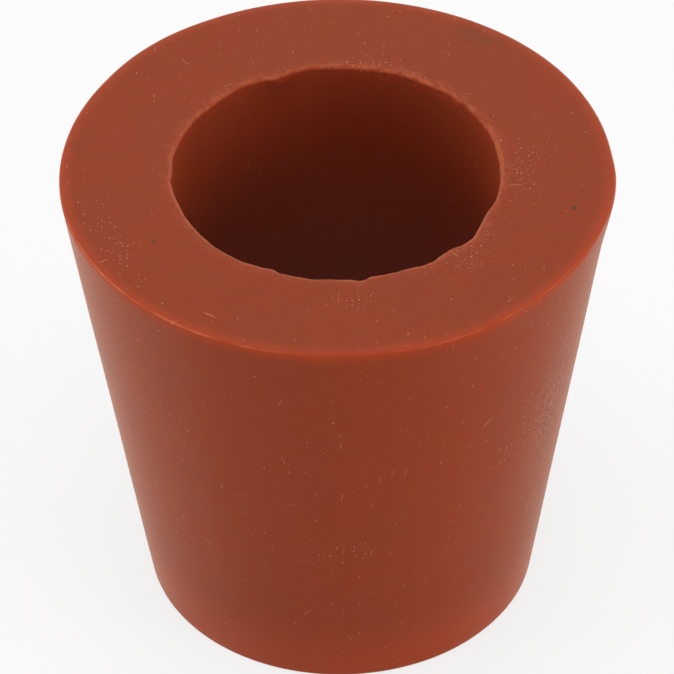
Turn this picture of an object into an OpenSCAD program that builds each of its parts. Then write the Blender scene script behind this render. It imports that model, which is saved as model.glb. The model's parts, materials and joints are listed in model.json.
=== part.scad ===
// Tapered rubber stopper with one large straight hole.
// It stands on its small end at Z = 0, the hole's axis is the Z axis, and sizes are in millimetres.

/* [Body] */
// Diameter of the large end, measured to where the straight side would meet the face
top_d = 50; // [40:0.5:64]
// Diameter of the small end, measured in the same way
bottom_d = 36; // [32:0.5:48]
// Height from face to face
height = 46; // [20:1:70]

/* [Hole] */
// Diameter of the straight hole that a tube or spout is pushed into
hole_d = 29.5; // [6:0.5:32]

/* [Edges] */
// Radius of the moulded edge round the large end
top_edge_r = 0.6; // [0.2:0.1:1.5]
// Radius of the moulded edge round the small end
bottom_edge_r = 0.6; // [0.2:0.1:1.2]
// Radius of the lips where the cutter went into and came out of the rubber
lip_r = 0.3; // [0.1:0.05:0.5]

/* [Torn lip] */
// How far the deepest tear in the upper lip reaches from the hole's wall into the rubber
tear_reach = 0.45; // [0.1:0.05:0.8]
// Length of the longest tear, measured along the lip
tear_length = 4.2; // [2:0.1:6]

/* [Hidden] */

$fn = 180;
RUBBER_RED = [0.56, 0.23, 0.13];
// An edge radius takes at most this share of the wall beside the hole
WALL_SHARE = 0.45;
// The straight side lies this far under the edge arcs, so that line and arc cross at a clear angle
ARC_PROUD = 0.002;
// Each tear: direction round the axis in degrees, share of tear_length, share of tear_reach
TEARS = [
    [184, 0.35, 0.50],
    [278, 0.40, 0.55],
    [302, 0.60, 0.75],
    [321, 1.00, 1.00]
];

top_r = top_d / 2;
bottom_r = bottom_d / 2;
hole_r = hole_d / 2;
taper = atan2(top_r - bottom_r, height);
top_round = min(top_edge_r, WALL_SHARE * (top_r - hole_r));
bottom_round = min(bottom_edge_r, WALL_SHARE * (bottom_r - hole_r));
lip_round = min(lip_r, WALL_SHARE * (bottom_r - hole_r));

// Radius of the straight side at height z
function side_r(z) = bottom_r + z * tan(taper);

// Centre, at height z, of an arc of radius r that touches the side from inside
function arc_centre(z, r) = [side_r(z) - r / cos(taper), z];

// End of the straight side at such an arc
function side_end(centre, r) = centre + (r - ARC_PROUD) * [cos(taper), -sin(taper)];

// Radius of a ball that cuts a tear of this length and reach into the hole's wall
function tear_ball_r(length, reach) = 1 / (8 * reach / pow(length, 2) + 1 / hole_r);

// Half section of the rubber; its four corners are arcs tangent to the faces, the side and the wall
module wall_section() {
    top_arc = arc_centre(height - top_round, top_round);
    bottom_arc = arc_centre(bottom_round, bottom_round);
    lip_x = hole_r + lip_round;
    polygon([
        [lip_x, 0],
        [bottom_arc.x, 0],
        side_end(bottom_arc, bottom_round),
        side_end(top_arc, top_round),
        [top_arc.x, height],
        [lip_x, height],
        [hole_r, height - lip_round],
        [hole_r, lip_round]
    ]);
    translate(top_arc)
        circle(r = top_round);
    translate(bottom_arc)
        circle(r = bottom_round);
    for (z = [lip_round, height - lip_round])
        translate([lip_x, z])
            circle(r = lip_round);
}

// One tear, cut by a ball that stands in the hole with its centre level with the large end
module tear(direction, length, reach) {
    ball_r = tear_ball_r(length, reach);
    rotate([0, 0, direction])
        translate([hole_r + reach - ball_r, 0, height])
            sphere(r = ball_r);
}

module stopper() {
    color(RUBBER_RED)
        difference() {
            rotate_extrude()
                wall_section();
            for (t = TEARS)
                tear(t[0], t[1] * tear_length, t[2] * tear_reach);
        }
}

stopper();
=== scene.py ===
import json
import math
import random

import bmesh
import bpy
from mathutils import Matrix, Vector

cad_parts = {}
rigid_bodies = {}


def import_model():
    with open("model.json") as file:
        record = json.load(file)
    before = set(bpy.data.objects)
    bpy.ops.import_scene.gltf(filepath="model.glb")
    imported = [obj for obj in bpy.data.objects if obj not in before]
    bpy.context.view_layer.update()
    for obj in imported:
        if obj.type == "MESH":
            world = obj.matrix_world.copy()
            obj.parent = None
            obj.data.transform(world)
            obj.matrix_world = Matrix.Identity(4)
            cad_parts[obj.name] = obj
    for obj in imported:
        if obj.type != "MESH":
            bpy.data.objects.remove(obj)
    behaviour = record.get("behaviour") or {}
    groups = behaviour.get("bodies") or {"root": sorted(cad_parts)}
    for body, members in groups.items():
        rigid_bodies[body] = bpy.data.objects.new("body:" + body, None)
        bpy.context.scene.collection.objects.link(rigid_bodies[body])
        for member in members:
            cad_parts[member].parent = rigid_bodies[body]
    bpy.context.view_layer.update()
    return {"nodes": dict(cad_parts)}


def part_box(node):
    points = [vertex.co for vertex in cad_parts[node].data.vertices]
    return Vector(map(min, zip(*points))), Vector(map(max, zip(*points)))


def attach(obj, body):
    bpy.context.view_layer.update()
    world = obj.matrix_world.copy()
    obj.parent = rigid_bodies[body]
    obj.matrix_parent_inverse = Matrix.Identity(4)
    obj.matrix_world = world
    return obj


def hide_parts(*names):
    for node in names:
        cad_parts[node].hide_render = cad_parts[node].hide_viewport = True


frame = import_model()
print("frame loaded:", ", ".join(frame["nodes"]))

mm = 0.001  # the scene is in metres
closeBy = 0.02 * mm  # places nearer to each other than this count as one


rubberStopper = {
    "smallEndShare": 0.72,  # width of the small end over the width of the large end
    "holeShare": 0.59,  # width of the hole over the width of the large end
    "edgeRound": 0.4 * mm,  # radius of both outer edges
    "lipRound": 0.3 * mm,  # radius of both lips of the hole
    "facets": 720,  # faces round the axis
    "roundSegments": 6,  # faces across each rounded edge
    "lipZone": 1.3 * mm,  # width of the finely divided band on both sides of the top lip
    "lipZoneCuts": 9,
    "topCuts": 11,
    "sideCuts": 40,
    "wallCuts": 18,
    "bottomCuts": 4,
    # the tears are those of the solid: degrees from the front, positive to the right, then width and
    # outward reach in mm
    "lipTears": ((-86, 1.5, 0.2), (8, 1.7, 0.25), (32, 2.5, 0.35), (51, 4.2, 0.45)),
    # the rest is left to chance: how many places, narrowest, widest, furthest in and furthest out in mm
    "lipBurrs": (14, 1.5, 4, -0.2, 0.1),
    "rimUneven": (4, 8, 16, -0.1, 0.2),
    "footUneven": (4, 6, 12, -0.05, 0.1),
    "seed": 7,
    "grabbed": 0.12,  # share of a place's width that is taken hold of
    "waver": 0.5 * mm,  # how far the rest of the lip wanders
    "waverSize": 2.4 * mm,
    "plainWaver": 0.4,  # share of that on the cleanly cut parts
    "crumble": 0.20 * mm,  # how far the rough parts of the lip stand up and down
    "crumbSize": 0.55 * mm,
    "crumbReach": 0.45 * mm,  # how far from the lip they go
    "plainLip": 0.12,  # how rough the rest of the lip is
    # where the top lip is rough: degrees from the front and half width, and how rough, from 0 to 1
    "roughLips": ((130, 60, 0.8), (-130, 35, 0.6), (45, 25, 0.5)),
    "swell": 0.10 * mm,  # slow unevenness of the whole moulding
    "swellSize": 16 * mm,
    "boreReach": 0.35,  # share of the width: all that is nearer to the axis belongs to the hole
    "faceDepth": 0.24 * mm,  # how far down the outer edge the finish of the large end goes
    "flatFoot": 5 * mm,  # height up to which the swell fades out
}


def clearSelection():
    for thing in bpy.context.scene.objects:
        thing.select_set(False)


def makeActive(piece):
    clearSelection()
    piece.select_set(True)
    bpy.context.view_layer.objects.active = piece


def fromAxis(point):
    return math.hypot(point.x, point.y)


def directionOf(point):  # degrees from the front, positive to the right
    return math.degrees(math.atan2(point.x, -point.y))


def turnBetween(first, second):
    return abs((first - second + 180) % 360 - 180)


def pick(piece, kind, test):  # in edit mode: selects the verts or edges that pass the test
    bpy.ops.mesh.select_mode(type="VERT" if kind == "verts" else "EDGE")
    bpy.ops.mesh.select_all(action="DESELECT")
    mesh = bmesh.from_edit_mesh(piece.data)
    for part in getattr(mesh, kind):
        if test(part):
            part.select_set(True)
    mesh.select_flush_mode()
    bmesh.update_edit_mesh(piece.data)


def isRing(radius, height):  # test for the edges of the ring at this radius and height
    def test(edge):
        return all(
            abs(fromAxis(end.co) - radius) < closeBy and abs(end.co.z - height) < closeBy
            for end in edge.verts
        )
    return test


def isCross(radiusA, heightA, radiusB, heightB):  # test for the edges that run from ring A to ring B
    def at(end, radius, height):
        return abs(fromAxis(end.co) - radius) < closeBy and abs(end.co.z - height) < closeBy
    def test(edge):
        one, two = edge.verts
        return (at(one, radiusA, heightA) and at(two, radiusB, heightB)) or (
            at(two, radiusA, heightA) and at(one, radiusB, heightB)
        )
    return test


def pullRing(grow, centre):  # extrudes the selected ring and scales the new one about the axis
    bpy.ops.mesh.extrude_edges_move()
    bpy.ops.transform.resize(value=(grow, grow, 1), center_override=centre)


# the plain moulding, with every edge rounded
def buildBlank(sizes, top, bottom, hole, height, lean):
    clearSelection()
    bpy.ops.mesh.primitive_cone_add(
        vertices=sizes["facets"],
        radius1=bottom,
        radius2=top,
        depth=height,
        end_fill_type="NOTHING",
        location=(0, 0, height / 2),
    )
    bpy.ops.object.transform_apply(location=True, rotation=True, scale=True)
    piece = bpy.context.active_object
    piece.name = "rubber_stopper"
    bpy.ops.object.mode_set(mode="EDIT")
    pick(piece, "edges", isRing(top, height))
    pullRing(hole / top, (0, 0, height))  # in over the large end
    bpy.ops.mesh.extrude_edges_move()
    bpy.ops.transform.translate(value=(0, 0, -height))  # down the wall of the hole
    pullRing(bottom / hole, (0, 0, 0))  # out over the small end, to where it started
    bpy.ops.mesh.select_all(action="SELECT")
    bpy.ops.mesh.remove_doubles(threshold=closeBy / 2)
    bpy.ops.mesh.normals_make_consistent(inside=False)
    edges = (
        (top, height, sizes["edgeRound"] * math.tan((math.pi / 2 + lean) / 2)),
        (bottom, 0, sizes["edgeRound"] * math.tan((math.pi / 2 - lean) / 2)),
        (hole, height, sizes["lipRound"]),
        (hole, 0, sizes["lipRound"]),
    )
    for radius, level, setback in edges:
        pick(piece, "edges", isRing(radius, level))
        bpy.ops.mesh.bevel(
            offset_type="OFFSET",
            offset=setback,
            segments=sizes["roundSegments"],
            affect="EDGES",
            profile=0.5,
        )
    bpy.ops.object.mode_set(mode="OBJECT")
    return piece


def divide(piece, ringA, ringB, cuts):
    pick(piece, "edges", isCross(*ringA, *ringB))
    bpy.ops.mesh.subdivide(number_cuts=cuts)


# finer faces, closest together at the top lip
def addRings(piece, sizes, top, bottom, hole, height, lean):
    setback = sizes["edgeRound"] * math.tan((math.pi / 2 + lean) / 2)
    lowSetback = sizes["edgeRound"] * math.tan((math.pi / 2 - lean) / 2)
    lip = sizes["lipRound"]
    topInner = (hole + lip, height)
    topOuter = (top - setback, height)
    wallHigh = (hole, height - lip)
    wallLow = (hole, lip)
    sideHigh = (top - setback * math.sin(lean), height - setback * math.cos(lean))
    sideLow = (bottom + lowSetback * math.sin(lean), lowSetback * math.cos(lean))
    bottomInner = (hole + lip, 0)
    bottomOuter = (bottom - lowSetback, 0)
    bpy.ops.object.mode_set(mode="EDIT")
    # one ring beside the lip on the face, and one below it on the wall
    divide(piece, topInner, topOuter, 1)
    middle = (topInner[0] + topOuter[0]) / 2
    beside = hole + lip + sizes["lipZone"]
    pick(piece, "edges", isRing(middle, height))
    bpy.ops.transform.resize(value=(beside / middle, beside / middle, 1), center_override=(0, 0, height))
    divide(piece, wallHigh, wallLow, 1)
    below = height - lip - sizes["lipZone"]
    pick(piece, "edges", isRing(hole, height / 2))
    bpy.ops.transform.translate(value=(0, 0, below - height / 2))
    divide(piece, topInner, (beside, height), sizes["lipZoneCuts"])
    divide(piece, (beside, height), topOuter, sizes["topCuts"])
    divide(piece, wallHigh, (hole, below), sizes["lipZoneCuts"])
    divide(piece, (hole, below), wallLow, sizes["wallCuts"])
    divide(piece, sideHigh, sideLow, sizes["sideCuts"])
    divide(piece, bottomInner, bottomOuter, sizes["bottomCuts"])
    bpy.ops.object.mode_set(mode="OBJECT")
    print("rings added:", len(piece.data.polygons), "faces")


# keeps each point's distance from lip and rim, in mm, and how rough the lip is there
def markEdges(piece, sizes, top, hole, height, lean):
    lip = sizes["lipRound"]
    rim = sizes["edgeRound"]
    rimCentre = top - rim * math.tan((math.pi / 2 + lean) / 2)  # radius at which the rim's rounding starts
    rimMiddle = (math.pi / 2 - lean) / 2
    for name in ("fromLip", "fromRim", "lipRoughness"):
        piece.data.attributes.new(name, "FLOAT", "POINT")
    fromLip = piece.data.attributes["fromLip"].data
    fromRim = piece.data.attributes["fromRim"].data
    lipRoughness = piece.data.attributes["lipRoughness"].data
    for vert in piece.data.vertices:
        radius = fromAxis(vert.co)
        out = max(radius - hole - lip, 0)
        down = max(height - lip - vert.co.z, 0)
        fromLip[vert.index].value = (out + down) / mm
        if radius < rimCentre:
            away = rimCentre - radius + rim * (math.pi / 2 - rimMiddle) + (height - vert.co.z)
        elif vert.co.z < height - rim:
            away = height - rim - vert.co.z + rim * rimMiddle
        else:
            away = rim * abs(math.atan2(vert.co.z - height + rim, radius - rimCentre) - rimMiddle)
        fromRim[vert.index].value = away / mm
        rough = sizes["plainLip"]
        for centre, halfWidth, amount in sizes["roughLips"]:
            offCentre = turnBetween(directionOf(vert.co), centre) / halfWidth
            rough = max(rough, amount * (1 - offCentre**2))
        lipRoughness[vert.index].value = rough


def pushEdge(piece, sizes, places, radius, level, reachIn):  # moves bits of one edge out, or in below 0
    bpy.ops.object.mode_set(mode="EDIT")
    for direction, width, reach in places:
        core = math.degrees(sizes["grabbed"] * width * mm / radius)
        pick(
            piece,
            "verts",
            lambda vert: abs(vert.co.z - level) < reachIn
            and abs(fromAxis(vert.co) - radius) < reachIn
            and turnBetween(directionOf(vert.co), direction) < core,
        )
        grow = 1 + reach * mm / radius
        bpy.ops.transform.resize(
            value=(grow, grow, 1),
            center_override=(0, 0, level),
            use_proportional_edit=True,
            proportional_edit_falloff="SMOOTH",
            proportional_size=width / 2 * mm,
        )
    bpy.ops.object.mode_set(mode="OBJECT")


def placesByChance(chance, howMany, narrow, wide, furthestIn, furthestOut):
    return tuple(
        (chance.uniform(-180, 180), chance.uniform(narrow, wide), chance.uniform(furthestIn, furthestOut))
        for place in range(howMany)
    )


def displace(piece, name, size, depth, strength, group="", everyWay=False):
    texture = bpy.data.textures.new(name, "CLOUDS")
    texture.noise_scale = size
    texture.noise_depth = depth
    texture.cloud_type = "COLOR" if everyWay else "GRAYSCALE"
    modifier = piece.modifiers.new(name, "DISPLACE")
    modifier.texture = texture
    modifier.texture_coords = "LOCAL"
    modifier.direction = "RGB_TO_XYZ" if everyWay else "NORMAL"
    modifier.strength = strength
    modifier.vertex_group = group
    makeActive(piece)
    bpy.ops.object.modifier_apply(modifier=modifier.name)


def roughenLip(piece, sizes):
    fromLip = [row.value for row in piece.data.attributes["fromLip"].data]
    lipRoughness = [row.value for row in piece.data.attributes["lipRoughness"].data]
    crumbling = piece.vertex_groups.new(name="lipCrumbs")
    wavering = piece.vertex_groups.new(name="lipWaver")
    for index, away in enumerate(fromLip):
        rough = lipRoughness[index]
        near = 1 - away * mm / sizes["crumbReach"]
        reached = 1 - away * mm / sizes["lipZone"]
        if near > 0:
            crumbling.add([index], rough * near, "REPLACE")
        if reached > 0:
            share = sizes["plainWaver"] + (1 - sizes["plainWaver"]) * rough
            wavering.add([index], share * reached * reached, "REPLACE")
    displace(piece, "lipWaver", sizes["waverSize"], 2, sizes["waver"], "lipWaver", everyWay=True)
    displace(piece, "lipCrumbs", sizes["crumbSize"], 3, sizes["crumble"], "lipCrumbs")


def swellSides(piece, sizes):  # slow unevenness, which leaves the face that it stands on flat
    swelling = piece.vertex_groups.new(name="swelling")
    for vert in piece.data.vertices:
        risen = min(max(vert.co.z / sizes["flatFoot"], 0), 1)
        if risen > 0:
            swelling.add([vert.index], risen, "REPLACE")
    displace(piece, "slowSwell", sizes["swellSize"], 1, sizes["swell"], "swelling")


def buildStopper(sizes):
    low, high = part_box("stopper")
    height = high[2] - low[2]
    lean = math.atan((1 - sizes["smallEndShare"]) * (high[0] - low[0]) / 2 / height)
    # the rounded edge takes a little off the full width, so it is put back first, which settles in 3 steps
    for step in range(3):
        loss = sizes["edgeRound"] * (math.tan(lean) + 1 / math.cos(lean) - 1)
        top = (high[0] - low[0]) / 2 + loss
        bottom = top * sizes["smallEndShare"]
        lean = math.atan((top - bottom) / height)
    hole = top * sizes["holeShare"]
    print("stopper radii in mm:", round(top / mm, 3), round(bottom / mm, 3), round(hole / mm, 3))
    piece = buildBlank(sizes, top, bottom, hole, height, lean)
    addRings(piece, sizes, top, bottom, hole, height, lean)
    markEdges(piece, sizes, top, hole, height, lean)
    chance = random.Random(sizes["seed"])
    lipPlaces = sizes["lipTears"] + placesByChance(chance, *sizes["lipBurrs"])
    rimPlaces = placesByChance(chance, *sizes["rimUneven"])
    footPlaces = placesByChance(chance, *sizes["footUneven"])
    pushEdge(piece, sizes, lipPlaces, hole, height, 2 * sizes["lipRound"])
    pushEdge(piece, sizes, rimPlaces, top, height, 2 * sizes["edgeRound"])
    pushEdge(piece, sizes, footPlaces, bottom, 0, 2 * sizes["edgeRound"])
    roughenLip(piece, sizes)
    swellSides(piece, sizes)
    makeActive(piece)
    bpy.ops.object.shade_smooth()
    return piece


# one material each for the side, the large end and the wall of the hole
def dressStopper(piece, sizes, side, face, wall):
    low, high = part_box("stopper")
    for material in (side, face, wall):
        piece.data.materials.append(material)
    for part in piece.data.polygons:
        inside = fromAxis(part.center) < sizes["boreReach"] * (high[0] - low[0])
        if part.center.z > high[2] - sizes["faceDepth"]:
            part.material_index = 1
        elif inside and part.center.z > low[2] + sizes["lipRound"]:
            part.material_index = 2


handling = {  # what use has left on the stopper, where it is thick enough to notice
    # on the large end: degrees from the front, share of the way from hole to edge, turn away from
    # running round the stopper, half length and half width in mm, and how strong
    "faceCrowds": (
        (90, 0.2, 0, 6, 3, 1.0),
        (45, 0.2, 0, 6, 3, 1.0),
        (-65, 0.7, 0, 9, 2.5, 0.8),
        (5, 0.3, 0, 5, 2.5, 0.5),
        (165, 0.1, 0, 5, 1.5, 0.7),
    ),
    "faceSmears": ((145, 0.8, 0, 5, 1.5, 0.7), (-100, 0.85, 0, 3, 0.8, 0.4)),
    "facePits": ((-60, 0.4, 0, 0.3, 0.25, 0.9), (75, 0.7, 45, 0.45, 0.3, 0.8)),
    "faceScratches": ((-30, 0.75, 0, 0.9, 0.06, 0.8), (-60, 0.9, 90, 0.5, 0.06, 0.8)),
    # on the side: degrees from the front and share of the height, then as above
    "sideCrowds": ((55, 0.55, 90, 12, 5, 0.9), (-65, 0.65, 90, 6, 2.5, 0.6), (0, 0.4, 0, 6, 3, 0.5)),
    "sideGrain": ((60, 0.6, 90, 14, 5, 0.9), (60, 0.3, 90, 5, 2.5, 0.6), (-65, 0.65, 90, 6, 2.5, 0.6)),
    "sideScratches": ((35, 0.7, 45, 1.0, 0.06, 0.8), (60, 0.6, 45, 0.8, 0.08, 0.6)),
}


def onFace(rows):  # turns directions and shares of the large end into x, y and a turn about Z, in mm
    low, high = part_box("stopper")
    edge = (high[0] - low[0]) / 2 / mm
    lip = rubberStopper["holeShare"] * edge
    places = []
    for direction, share, turn, *rest in rows:
        radius = lip + share * (edge - lip)
        angle = math.radians(direction)
        places.append((radius * math.sin(angle), -radius * math.cos(angle), direction + turn, *rest))
    return places


def onSide(rows):  # turns directions and shares of the height into mm round the side and mm up it
    low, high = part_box("stopper")
    tall = (high[2] - low[2]) / mm
    radius = sideRadius()
    return [(math.radians(direction) * radius, share * tall, *rest) for direction, share, *rest in rows]


def sideRadius():  # in mm, halfway up
    low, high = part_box("stopper")
    return (1 + rubberStopper["smallEndShare"]) / 4 * (high[0] - low[0]) / mm


def patchAt(rows, x, y):  # how strong the strongest oval patch is at one place
    strongest = 0.0
    for middleX, middleY, turn, halfLength, halfWidth, strength in rows:
        along = math.radians(turn)
        right, up = x - middleX, y - middleY
        share = math.hypot(
            (right * math.cos(along) + up * math.sin(along)) / halfLength,
            (up * math.cos(along) - right * math.sin(along)) / halfWidth,
        )
        if share < 1:
            strongest = max(strongest, strength * (1 - share) ** 2 * (1 + 2 * share))
    return strongest


def paintPatches(piece, name, faceRows, sideRows):
    low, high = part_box("stopper")
    radius = sideRadius()
    layer = piece.data.attributes.new(name, "FLOAT", "POINT")
    for vert in piece.data.vertices:
        place = vert.co / mm
        if vert.co.z > high[2] - rubberStopper["lipRound"]:
            layer.data[vert.index].value = patchAt(faceRows, place.x, place.y)
        elif sideRows and fromAxis(vert.co) > rubberStopper["boreReach"] * (high[0] - low[0]):
            around = math.atan2(place.x, -place.y) * radius
            layer.data[vert.index].value = patchAt(sideRows, around, place.z)


class Value:  # a socket that can be used in sums
    def __init__(self, graph, socket):
        self.graph = graph
        self.socket = socket

    def math(self, operation, first, second):
        return self.graph.node("ShaderNodeMath", {"operation": operation}, {0: first, 1: second})

    def __add__(self, other):
        return self.math("ADD", self, other)

    def __sub__(self, other):
        return self.math("SUBTRACT", self, other)

    def __rsub__(self, other):
        return self.math("SUBTRACT", other, self)

    def __mul__(self, other):
        return self.math("MULTIPLY", self, other)

    def __truediv__(self, other):
        return self.math("DIVIDE", self, other)

    __radd__ = __add__
    __rmul__ = __mul__


class Graph:  # the nodes of one material or world
    def __init__(self, owner):
        owner.use_nodes = True
        self.tree = owner.node_tree
        self.tree.nodes.clear()

    def node(self, kind, settings=None, sockets=None, output=0):
        made = self.tree.nodes.new(kind)
        for name, value in (settings or {}).items():
            setattr(made, name, value)
        for name, value in (sockets or {}).items():
            if isinstance(value, Value):
                self.tree.links.new(value.socket, made.inputs[name])
            else:
                made.inputs[name].default_value = value
        return Value(self, made.outputs[output]) if made.outputs else made

    def other(self, value, output):  # another output of the node that a value comes from
        return Value(self, value.socket.node.outputs[output])

    def fade(self, value, start, end, full=1.0):  # 0 up to start, full from end on, smooth between
        return self.node(
            "ShaderNodeMapRange",
            {"interpolation_type": "SMOOTHSTEP"},
            {"Value": value, "From Min": start, "From Max": end, "To Max": full},
        )

    def larger(self, first, second):
        return self.node("ShaderNodeMath", {"operation": "MAXIMUM"}, {0: first, 1: second})

    def less(self, first, second):  # 1 where first is less than second
        return self.node("ShaderNodeMath", {"operation": "LESS_THAN"}, {0: first, 1: second})

    def vector(self, operation, *inputs, output=0):
        return self.node("ShaderNodeVectorMath", {"operation": operation}, dict(enumerate(inputs)), output)

    def attribute(self, name):
        return self.node("ShaderNodeAttribute", {"attribute_name": name}, {}, output=2)

    def size(self, value):
        return self.node("ShaderNodeMath", {"operation": "ABSOLUTE"}, {0: value})

    def blend(self, amount, under, over):  # mixes two colours
        return self.node(
            "ShaderNodeMix", {"data_type": "RGBA"}, {"Factor": amount, 6: under, 7: over}, output=2
        )

    def noise(self, place, size, detail, roughness=0.5):
        return self.node(
            "ShaderNodeTexNoise",
            {},
            {"Vector": place, "Scale": 1 / size, "Detail": detail, "Roughness": roughness},
        )

    def parts(self, vector):
        x = self.node("ShaderNodeSeparateXYZ", {}, {0: vector})
        return x, self.other(x, 1), self.other(x, 2)

    def join(self, x, y, z=0.0):
        return self.node("ShaderNodeCombineXYZ", {}, {0: x, 1: y, 2: z})


rubber = {
    "body": (0.256, 0.0350, 0.0072, 1),
    "bloom": (0.232, 0.0385, 0.0120, 1),  # browner patches
    "paintedRimGlow": (0.315, 0.0440, 0.0100, 1),  # painted glow along the outer edge, standing in for light coming through and round it
    "paintedHighlight": (0.520, 0.150, 0.062, 1),  # painted highlight on the very edge of the rim, and along the lip
    "torn": (0.310, 0.0590, 0.0160, 1),  # lighter band along the lip, strongest where the lip is torn
    "far": (0.335, 0.0480, 0.0110, 1),  # lighter towards the small end: painted light bounced up from the floor
    "crumb": (0.600, 0.260, 0.150, 1),  # loose crumbs and lint
    # painted shade for the small pits
    "pitShade": (0.080, 0.034, 0.013, 1),
    "smear": (0.165, 0.0440, 0.0140, 1),
    "grit": (0.110, 0.0150, 0.0070, 1),  # dark red grains, and the shade beside a crumb
    # a noise is its size in mm, its detail and its roughness, and a band is where a fade starts, where it
    # is full and how strong it is then. Where the last value isn't given, it is 0.5 and 1
    "mottle": (7.0, 3.0, 0.55),  # makes the browner patches
    "mottleBand": (0.38, 0.72),
    "bloomShare": 0.4,
    "blotch": (1.1, 2.0, 0.6),  # breaks up bands, smears and shine
    "endDepth": 0.3,  # mm from an end, up to which marks lie flat on it
    "farBand": (37.0, 46.0),  # mm below the large end, where the far colour (painted bounce light on the side) starts and is full
    "rimGlowBand": (1.3, 0.3),  # mm from the outer edge, for the painted glow
    "rimGlowRagged": 0.8,  # mm by which the painted glow's band wanders
    # mm from the outer edge where the painted highlight lies
    "rimHighlightLine": (0.16, 0.02),
    # where the outer edge gets the painted highlight: degrees from the front and half width, and how much
    "rimHighlights": ((-45, 45, 0.65), (40, 40, 0.3), (180, 150, 0.25)),
    "highlightFull": 0.3,  # share of the half width where the painted highlight is full
    "highlightNoise": (2.2, 1.0),
    "highlightBand": (0.25, 0.6),
    "lipBand": (0.95, 0.25),  # mm from the lip
    "lipRagged": 0.9,
    "lipPlain": 0.45,  # strength of the band where the lip is cleanly cut
    "lipNoise": (0.42, 2.0, 0.7),
    "lipNoiseBand": (0.40, 0.62),
    # the painted highlight along the lip
    "lipHighlightLine": (0.16, 0.02),
    "lipHighlightBand": (0.35, 0.6),
    "lipHighlightShare": 0.25,
    "crumbs": (0.55, 0.075, 0.08),  # mm apart, half width in mm, and the share of places that hold one
    "dust": (0.34, 0.048, 0.15),
    "lint": (1.5, 0.30, 0.045, 0.10),  # mm apart, half length, half width, share
    "scratches": (5.0, 0.7, 0.05, 0.3),  # as lint
    # what those shares are multiplied by in clear places, and how much is added to that where they crowd
    "crumbCrowding": (0.35, 10),
    "dustCrowding": (0.3, 6),
    "lintCrowding": (0.5, 3),
    "paleness": {"crumbs": 0.8, "dust": 0.6, "lint": 0.5, "scratches": 0.6},
    "darkness": {"grit": 0.75, "shade": 0.85},
    "tremble": (0.5, 1.0),  # noise that makes the outline of lint and scratches ragged
    "trembleReach": (0.4, 0.4, 0),  # mm
    "crumbShade": (0.10, -0.09, 0),  # mm from a crumb to the shade beside it
    "gritNoise": (0.24, 1.0, 0.5),
    "gritBand": (0.52, 0.40),
    "paleGritBand": (0.55, 0.66, 0.5),
    "smearBand": (0.25, 0.65),
    "grain": (0.26, 1.0, 0.6),
    "grainHeight": 0.006,  # mm
    "crumbHeight": 0.05,
    "gritHeight": 0.02,
    "roughness": 0.62,
    "roughnessSpread": 0.15,
    "specular": 0.10,
    "sheen": 0.34,
    "sheenTint": (1.0, 0.95, 0.80, 1),
    "sheenRoughness": 0.35,
    "glow": 1.0,  # share of the light that travels through the rubber
    "glowReach": (1.0, 0.30, 0.14),
    "glowScale": 0.9 * mm,
}

faceRubber = {  # the large end is less blue than the side, a colour shift that offsets the pale shine the lamps leave on it
    "body": (0.256, 0.0345, 0.0050, 1),
    "bloom": (0.236, 0.0370, 0.0085, 1),
}

boreRubber = {  # the wall of the hole has none of the pale bloom
    "body": (0.272, 0.0360, 0.0100, 1),
    "torn": (0.350, 0.0420, 0.0120, 1),
    # greyer further down the hole
    "far": (0.275, 0.0640, 0.0390, 1),
    "farBand": (4.0, 28.0),
    "lipBand": (1.6, 0.2),
    "lipHighlightShare": 0.0,
    "sheen": 0.0,
    "specular": 0.06,
}


specks = {  # crumbs, dust, lint and scratches, which differ in size and strength
    "smallest": 0.5,  # size of the smallest, where the plain size is 1
    "growth": 0.8,  # how much more the largest measures
    "faintest": 0.4,  # strength of the faintest
    "grainCore": 0.5,  # share of a grain's half width that is full
    "threadCore": 0.4,  # the same for threads and single marks
}


def marks(g, place, rows):  # small oval marks
    mask = 0.0
    for x, y, turn, halfLength, halfWidth, strength in rows:
        near = g.node(
            "ShaderNodeMapping",
            {"vector_type": "TEXTURE"},
            {
                "Vector": place,
                "Location": (x, y, 0),
                "Rotation": (0, 0, math.radians(turn)),
                "Scale": (halfLength, halfWidth, 1),
            },
        )
        away = g.vector("LENGTH", near, output=1)
        mask = g.larger(mask, g.fade(away, 1.0, specks["threadCore"], strength))
    return mask


def cellsOf(g, place, apart):  # one point to a cell, this many mm apart
    return g.node(
        "ShaderNodeTexVoronoi", {"voronoi_dimensions": "2D"}, {"Vector": place, "Scale": 1 / apart}
    )


def strengthOf(tone):
    return specks["faintest"] + (1 - specks["faintest"]) * tone


def scatter(g, place, apart, halfWidth, share):  # round grains, one to a cell, in a share of the cells
    cells = cellsOf(g, place, apart)
    luck, big, tone = g.parts(g.other(cells, 1))
    reach = (specks["smallest"] + specks["growth"] * big) * (halfWidth / apart)
    return g.fade(cells / reach, 1.0, specks["grainCore"]) * g.less(luck, share) * strengthOf(tone)


def strew(g, place, apart, halfLength, halfWidth, share):  # short threads, each turned its own way
    cells = cellsOf(g, place, apart)
    luck, turn, tone = g.parts(g.other(cells, 1))
    away = g.vector("SUBTRACT", place, g.other(cells, 2))
    angle = turn * (2 * math.pi)
    turned = g.node("ShaderNodeVectorRotate", {"rotation_type": "Z_AXIS"}, {"Vector": away, "Angle": angle})
    near = g.vector("LENGTH", g.vector("MULTIPLY", turned, (1 / halfLength, 1 / halfWidth, 0)), output=1)
    return g.fade(near, 1.0, specks["threadCore"]) * g.less(luck, share) * strengthOf(tone)


def crowded(share, crowding, crowd):  # the share of places that hold a speck, more where they crowd
    clear, more = crowding
    return share * (clear + more * crowd)


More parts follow.
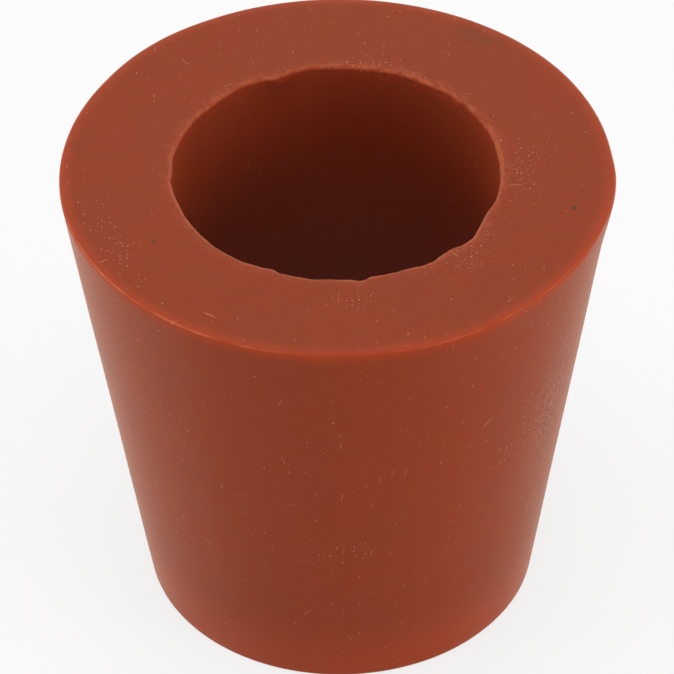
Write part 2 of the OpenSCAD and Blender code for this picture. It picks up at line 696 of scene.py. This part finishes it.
def rubberMaterial(name, finish, scratches=(), pits=()):
    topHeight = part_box("stopper")[1][2] / mm
    material = bpy.data.materials.new(name)
    g = Graph(material)
    objectPlace = g.other(g.node("ShaderNodeTexCoord"), "Object")
    # from here on a unit is a millimetre
    place = g.node("ShaderNodeMapping", {}, {"Vector": objectPlace, "Scale": (1 / mm, 1 / mm, 1 / mm)})
    x, y, z = g.parts(place)
    around = g.node("ShaderNodeMath", {"operation": "ARCTAN2"}, {0: x, 1: 0 - y})  # 0 at the front
    atEnd = g.less(topHeight / 2 - finish["endDepth"], g.size(z - topHeight / 2))  # 1 on both end faces
    unrolled = g.join(around * sideRadius(), z)
    flat = g.node(
        "ShaderNodeMix", {"data_type": "VECTOR"}, {0: atEnd, 4: unrolled, 5: g.join(x, y)}, output=1
    )
    tremble = g.vector("SUBTRACT", g.other(g.noise(place, *finish["tremble"]), 1), (0.5, 0.5, 0.5))
    loose = g.vector("MULTIPLY_ADD", tremble, finish["trembleReach"], flat)  # for ragged outlines

    mottle = g.noise(place, *finish["mottle"])
    blotch = g.noise(place, *finish["blotch"])
    fine = g.noise(place, *finish["grain"])
    bloom = g.fade(mottle, *finish["mottleBand"], finish["bloomShare"])
    colour = g.blend(bloom, finish["body"], finish["bloom"])
    # the side is lighter towards the small end, painted light bounced up from the floor; in the hole the
    # far colour is greyer further down
    colour = g.blend(g.fade(topHeight - z, *finish["farBand"]), colour, finish["far"])

    # the outer edge of the large end: a painted glow, and a painted highlight on the very edge
    fromRim = g.attribute("fromRim")
    # rim is the painted glow along the outer edge
    rim = g.fade(fromRim + (blotch - 0.5) * finish["rimGlowRagged"], *finish["rimGlowBand"])
    colour = g.blend(rim, colour, finish["paintedRimGlow"])
    # a painted highlight along the very edge, strongest at the front left
    highlightStrength = 0.0
    for direction, halfWidth, amount in finish["rimHighlights"]:
        turn = g.size(around - math.radians(direction))
        reach = math.radians(halfWidth)
        highlightStrength = g.larger(highlightStrength, g.fade(turn, reach, finish["highlightFull"] * reach, amount))
    patchy = g.fade(g.noise(place, *finish["highlightNoise"]), *finish["highlightBand"])
    line = g.fade(fromRim, *finish["rimHighlightLine"]) * highlightStrength * patchy
    colour = g.blend(line, colour, finish["paintedHighlight"])

    # the lip of the hole: a lighter band, strongest where the lip is torn, and a painted highlight on the
    # lip itself
    fromLip = g.attribute("fromLip")
    torn = finish["lipPlain"] + (1 - finish["lipPlain"]) * g.attribute("lipRoughness")
    lip = g.fade(fromLip + (blotch - 0.5) * finish["lipRagged"], *finish["lipBand"]) * torn
    ragged = g.fade(g.noise(place, *finish["lipNoise"]), *finish["lipNoiseBand"])
    colour = g.blend(lip * ragged, colour, finish["torn"])
    # a painted highlight along the lip, broken into pieces
    broken = g.fade(blotch, *finish["lipHighlightBand"], finish["lipHighlightShare"])
    lipHighlightLine = g.fade(fromLip, *finish["lipHighlightLine"]) * broken
    colour = g.blend(lipHighlightLine, colour, finish["paintedHighlight"])

    # crumbs, dust and lint lie thicker in some places, and each crumb has a painted shadow beside it
    crowd = g.attribute("crowd")
    *crumbSize, crumbShare = finish["crumbs"]
    *dustSize, dustShare = finish["dust"]
    *lintSize, lintShare = finish["lint"]
    crumbShare = crowded(crumbShare, finish["crumbCrowding"], crowd)
    shade = scatter(g, g.vector("ADD", flat, finish["crumbShade"]), *crumbSize, crumbShare)
    crumbs = scatter(g, flat, *crumbSize, crumbShare)
    dust = scatter(g, flat, *dustSize, crowded(dustShare, finish["dustCrowding"], crowd))
    lint = strew(g, loose, *lintSize, crowded(lintShare, finish["lintCrowding"], crowd))
    grain = g.noise(place, *finish["gritNoise"])
    grainy = g.attribute("grainy")
    grit = g.fade(grain, *finish["gritBand"]) * grainy
    darkness = finish["darkness"]
    dark = g.larger(grit * darkness["grit"], shade * darkness["shade"])
    colour = g.blend(dark, colour, finish["grit"])
    paleness = finish["paleness"]
    scratched = strew(g, loose, *finish["scratches"]) * paleness["scratches"]
    single = g.larger(marks(g, loose, scratches), scratched)
    pale = g.larger(crumbs * paleness["crumbs"], dust * paleness["dust"])
    pale = g.larger(pale, g.larger(lint * paleness["lint"], single))
    pale = g.larger(pale, g.fade(grain, *finish["paleGritBand"]) * grainy)
    colour = g.blend(pale, colour, finish["crumb"])

    smears = g.attribute("smeared") * g.fade(blotch, *finish["smearBand"])
    colour = g.blend(smears, colour, finish["smear"])
    # dark spots at the small pits: painted shade in place of the cavities
    colour = g.blend(marks(g, loose, pits), colour, finish["pitShade"])

    height = fine * finish["grainHeight"] + crumbs * finish["crumbHeight"] + grit * finish["gritHeight"]
    normal = g.node("ShaderNodeBump", {}, {"Distance": mm, "Height": height})
    shader = g.node(
        "ShaderNodeBsdfPrincipled",
        {},
        {
            "Base Color": colour,
            "Roughness": finish["roughness"] + (blotch - 0.5) * finish["roughnessSpread"],
            "Specular IOR Level": finish["specular"],
            "Sheen Weight": finish["sheen"],
            "Sheen Tint": finish["sheenTint"],
            "Sheen Roughness": finish["sheenRoughness"],
            "Subsurface Weight": finish["glow"],
            "Subsurface Radius": finish["glowReach"],
            "Subsurface Scale": finish["glowScale"],
            "Normal": normal,
        },
    )
    g.node("ShaderNodeOutputMaterial", {}, {"Surface": shader})
    return material


studio = {
    "floorSize": 3.0,
    "floorColour": (0.80, 0.80, 0.80, 1),
    "floorWhite": 0.75,  # share of plain white that the camera sees in the floor
    "worldLight": 0.25,
    # each lamp: degrees from the front, degrees up, distance, width and height in m, and strength in W
    "lamps": {
        "overhead": (0, 88, 0.60, 0.60, 0.60, 3.0),
        "left": (-90, 10, 0.60, 0.50, 0.40, 2.0),
        "right": (60, 10, 0.60, 0.50, 0.40, 2.0),
        "front": (0, 25, 0.60, 0.50, 0.50, 0.5),
        "back": (180, 25, 0.60, 0.50, 0.50, 0.5),
    },
}


def seenByEye(g):  # 1 where the camera, a reflection or a view through glass looks
    path = g.node("ShaderNodeLightPath")
    seen = g.larger(g.other(path, "Is Camera Ray"), g.other(path, "Is Glossy Ray"))
    return g.larger(seen, g.other(path, "Is Transmission Ray"))


def buildFloor(settings):
    clearSelection()
    bpy.ops.mesh.primitive_plane_add(size=settings["floorSize"], location=(0, 0, 0))
    floor = bpy.context.active_object
    floor.name = "studio_floor"
    material = bpy.data.materials.new("pale_floor")
    g = Graph(material)
    paper = g.node("ShaderNodeBsdfDiffuse", {}, {"Color": settings["floorColour"]})
    white = g.node("ShaderNodeEmission", {}, {"Color": (1, 1, 1, 1), "Strength": 1.0})
    seen = seenByEye(g) * settings["floorWhite"]
    both = g.node("ShaderNodeMixShader", {}, {"Fac": seen, 1: paper, 2: white})
    g.node("ShaderNodeOutputMaterial", {}, {"Surface": both})
    floor.data.materials.append(material)


def buildWorld(settings):
    world = bpy.data.worlds.new("studio_world")
    bpy.context.scene.world = world
    g = Graph(world)
    soft = g.node("ShaderNodeBackground", {}, {"Color": (1, 1, 1, 1), "Strength": settings["worldLight"]})
    white = g.node("ShaderNodeBackground", {}, {"Color": (1, 1, 1, 1), "Strength": 1.0})
    both = g.node("ShaderNodeMixShader", {}, {"Fac": seenByEye(g), 1: soft, 2: white})
    g.node("ShaderNodeOutputWorld", {}, {"Surface": both})


def placeRound(azimuth, elevation, distance, centre):  # azimuth 0 is the front, -Y, and 90 is +X
    turn = math.radians(azimuth)
    rise = math.radians(elevation)
    return centre + distance * Vector(
        (math.sin(turn) * math.cos(rise), -math.cos(turn) * math.cos(rise), math.sin(rise))
    )


def buildLamps(settings, centre):
    for name, (azimuth, elevation, distance, width, tall, power) in settings["lamps"].items():
        lamp = bpy.data.lights.new(name + "_lamp", "AREA")
        lamp.shape = "RECTANGLE"
        lamp.size = width
        lamp.size_y = tall
        lamp.energy = power
        holder = bpy.data.objects.new(name + "_lamp", lamp)
        bpy.context.scene.collection.objects.link(holder)
        holder.location = placeRound(azimuth, elevation, distance, centre)
        holder.rotation_euler = (centre - holder.location).to_track_quat("-Z", "Y").to_euler()
        holder.visible_camera = False


cameraSetup = {
    "azimuth": 0.0,
    "elevation": 41.66,
    "distance": 0.5631,  # m
    "lens": 327.3,  # mm
    "roll": -0.811,  # degrees about the line of sight
    "aimHeight": 0.565,  # share of the stopper's height
    "aimSide": -0.15 * mm,
}


def buildCamera(setup):
    low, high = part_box("stopper")
    aim = Vector((setup["aimSide"], 0, low[2] + setup["aimHeight"] * (high[2] - low[2])))
    lens = bpy.data.cameras.new("main_camera")
    lens.lens = setup["lens"]
    camera = bpy.data.objects.new("main_camera", lens)
    bpy.context.scene.collection.objects.link(camera)
    camera.location = placeRound(setup["azimuth"], setup["elevation"], setup["distance"], aim)
    look = (aim - camera.location).to_track_quat("-Z", "Y").to_matrix()
    camera.rotation_euler = (look @ Matrix.Rotation(math.radians(setup["roll"]), 3, "Z")).to_euler()
    bpy.context.scene.camera = camera


bpy.context.scene.view_settings.view_transform = "Standard"
buildCamera(cameraSetup)
print("camera placed")

low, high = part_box("stopper")
middle = Vector((0, 0, (low[2] + high[2]) / 2))
buildFloor(studio)
buildWorld(studio)
buildLamps(studio, middle)
print("floor and lights placed")

stopper = buildStopper(rubberStopper)
faceScratches = onFace(handling["faceScratches"])
facePits = onFace(handling["facePits"])
dressStopper(
    stopper,
    rubberStopper,
    rubberMaterial("side_rubber", rubber, onSide(handling["sideScratches"])),
    rubberMaterial("large_end_rubber", rubber | faceRubber, faceScratches, facePits),
    rubberMaterial("bore_rubber", rubber | boreRubber),
)
paintPatches(stopper, "crowd", onFace(handling["faceCrowds"]), onSide(handling["sideCrowds"]))
paintPatches(stopper, "grainy", (), onSide(handling["sideGrain"]))
paintPatches(stopper, "smeared", onFace(handling["faceSmears"]), ())
print("crumbs, grain and smears placed")
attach(stopper, "root")
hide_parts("stopper")
print("stopper finished:", len(stopper.data.polygons), "faces")
